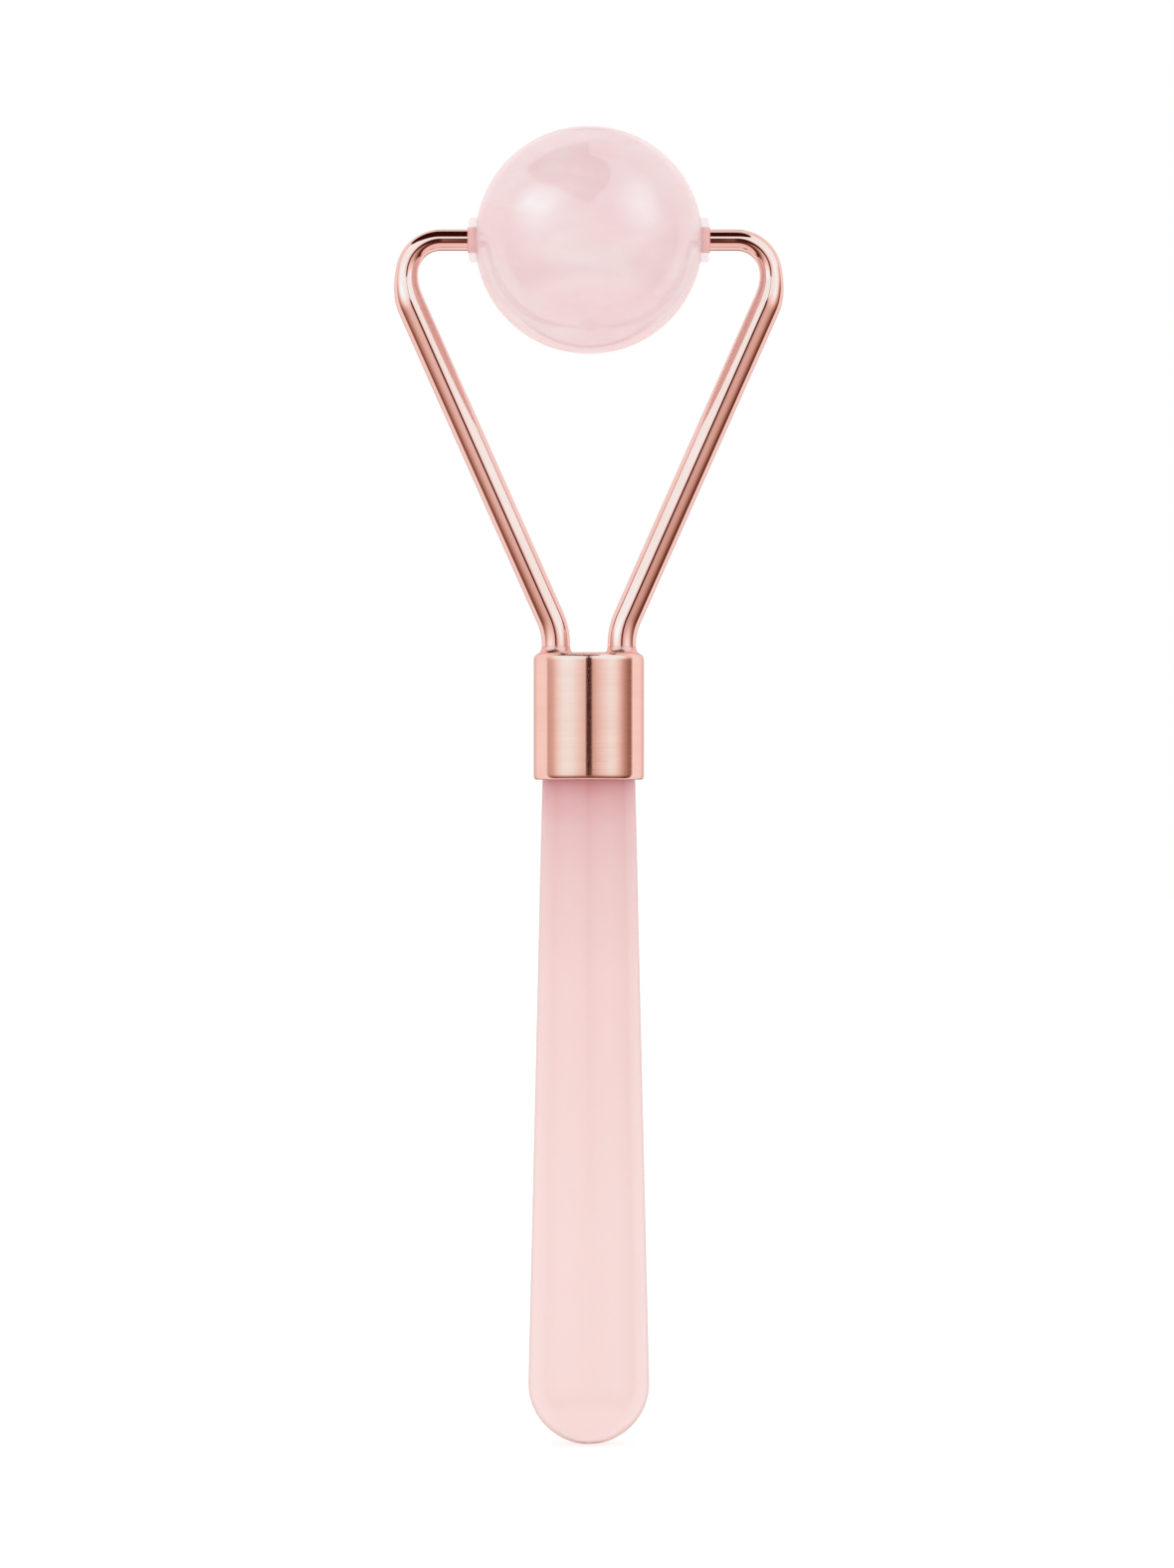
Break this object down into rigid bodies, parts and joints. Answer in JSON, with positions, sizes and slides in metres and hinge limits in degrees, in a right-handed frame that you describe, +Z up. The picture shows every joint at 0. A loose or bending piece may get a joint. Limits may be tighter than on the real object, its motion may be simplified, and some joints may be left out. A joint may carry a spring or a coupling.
{
  "type": "ball face roller",
  "caption": "Hand-held face roller: a stone ball that spins in a bent-rod yoke on a ferrule and a tapered, round-ended handle.",
  "frame": {"origin": "the tip of the handle's round end, on the handle's axis, which is the bottom centre of the whole object's box", "axes": "+Z up the handle's axis from its round end to the ball, +X along the ball's axle to the right arm, +Y from the front to the back"},
  "size_m": [0.0428, 0.025, 0.1449],
  "materials": {
    "handle_acrylic": "glossy translucent",
    "stud_steel": "plain",
    "ferrule_gold": "rose-gold plate, fine turned",
    "arm_gold": "rose-gold plate, polished",
    "braze_gold": "rose-gold plate, polished",
    "pink_stone": "polished, cloudy",
    "bush_plastic": "glossy translucent"
  },
  "bodies": {
    "frame": {"handle": "handle_acrylic", "handle_stud": "stud_steel", "ferrule": "ferrule_gold", "yoke_arm_left": "arm_gold", "yoke_arm_right": "arm_gold", "braze_fillet_left": "braze_gold", "braze_fillet_right": "braze_gold"},
    "roller": {"stone_ball": "pink_stone", "bush_left": "bush_plastic", "bush_right": "bush_plastic"}
  },
  "joints": [
    {"name": "ball_spin", "type": "hinge", "parent": "frame", "child": "roller", "pos_m": [0, 0, 0.1324], "axis": [1, 0, 0], "continuous": true}
  ]
}
